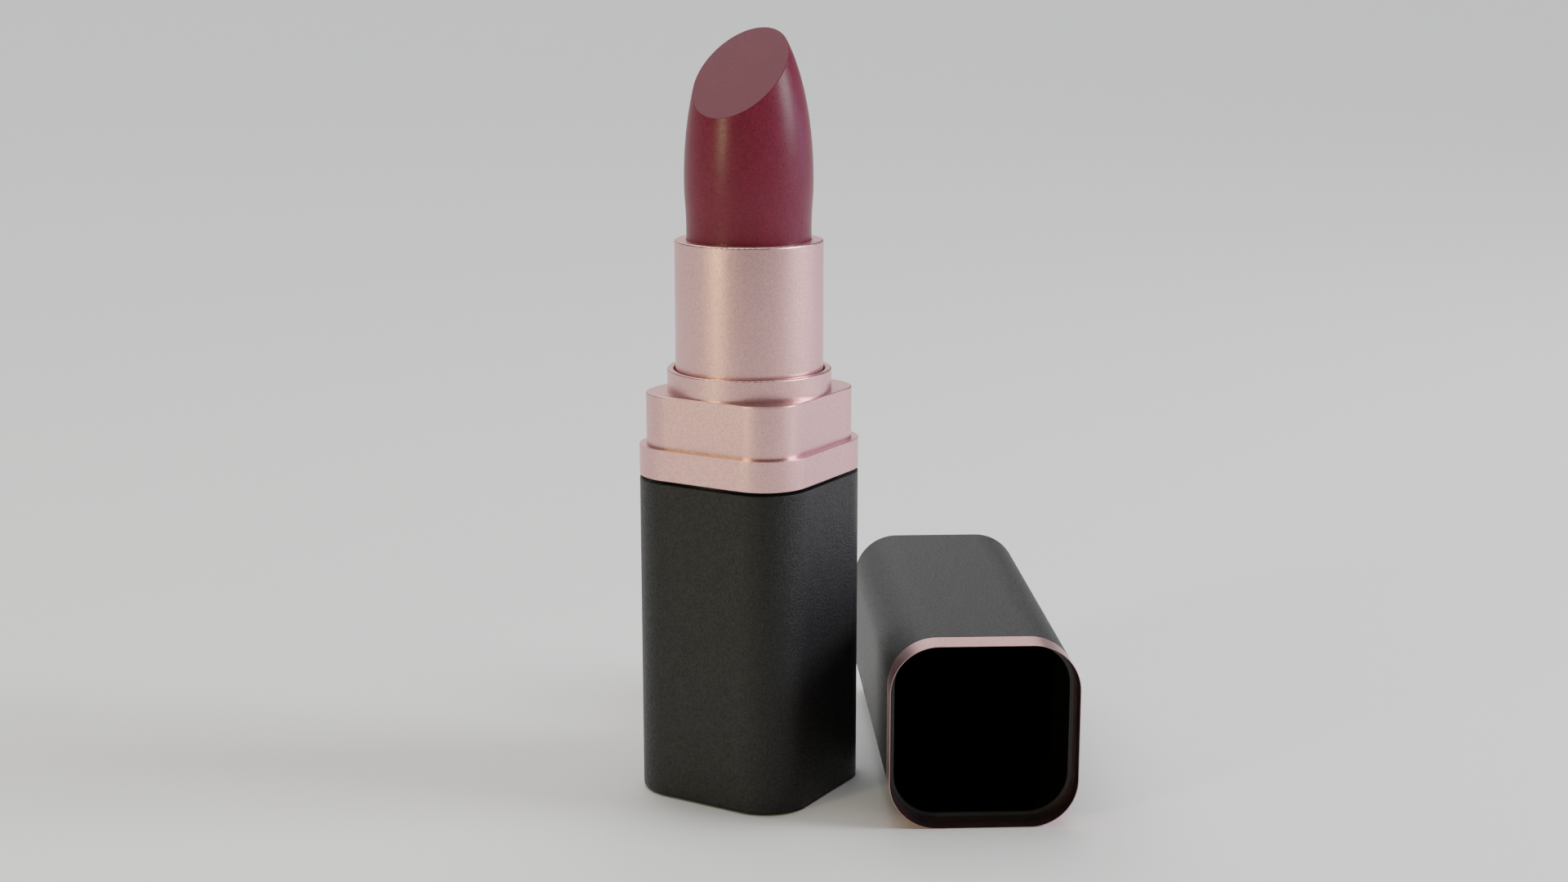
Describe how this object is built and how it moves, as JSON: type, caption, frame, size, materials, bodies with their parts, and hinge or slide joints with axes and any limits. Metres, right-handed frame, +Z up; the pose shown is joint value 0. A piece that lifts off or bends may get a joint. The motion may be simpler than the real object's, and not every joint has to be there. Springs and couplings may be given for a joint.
{
  "type": "lipstick case",
  "caption": "Square swivel lipstick case, open: black base and cap, rose gold neck and tube, slant-cut bullet raised by turning the neck.",
  "frame": {"origin": "centre of the base's flat underside", "axes": "+Z up along the case's axis, X and Y square to its sides; -Y is the side that the bullet's slanted face points to"},
  "size_m": [0.0425, 0.0487, 0.0743],
  "materials": {
    "black_soft_touch": "fine satin, slightly grained",
    "rose_gold": "satin anodised rose gold",
    "bullet_mauve": "waxy mauve lipstick, soft sheen",
    "inner_white": "natural acetal, matte",
    "inner_black": "black moulded polypropylene, matte",
    "weight_steel": "zinc-plated steel",
    "label_silver": "blank silver-grey film"
  },
  "bodies": {
    "base": {"base_shell": "black_soft_touch", "bottom_label": "label_silver", "base_weight": "weight_steel", "base_insert": "inner_white", "cam_retainer": "inner_white", "base_bush": "inner_black", "drag_washer": "inner_black", "inner_body": "inner_white"},
    "neck": {"neck_block": "rose_gold", "collar_band": "rose_gold", "neck_ring": "rose_gold", "spiral_cam": "inner_black"},
    "cup": {"cup_sleeve": "rose_gold", "cup_carrier": "inner_white", "lipstick_bullet": "bullet_mauve"},
    "cap": {"cap_shell": "black_soft_touch", "cap_band": "rose_gold", "cap_liner": "inner_black", "cap_weight": "weight_steel"}
  },
  "joints": [
    {"name": "twist", "type": "hinge", "parent": "base", "child": "neck", "pos_m": [0, 0, 0], "axis": [0, 0, 1], "range_deg": [0, 720]},
    {"name": "cup_rise", "type": "slide", "parent": "base", "child": "cup", "axis": [0, 0, 1], "range_m": [-0.0311, 0]},
    {"name": "cap_stand", "type": "hinge", "parent": "base", "child": "cap", "pos_m": [0.02604, -0.00009, 0], "axis": [0.8311, 0.5562, 0], "range_deg": [0, 90]}
  ],
  "couplings": [
    {"joint": "cup_rise", "follows": "twist", "m_per_rad": -0.0024669}
  ]
}
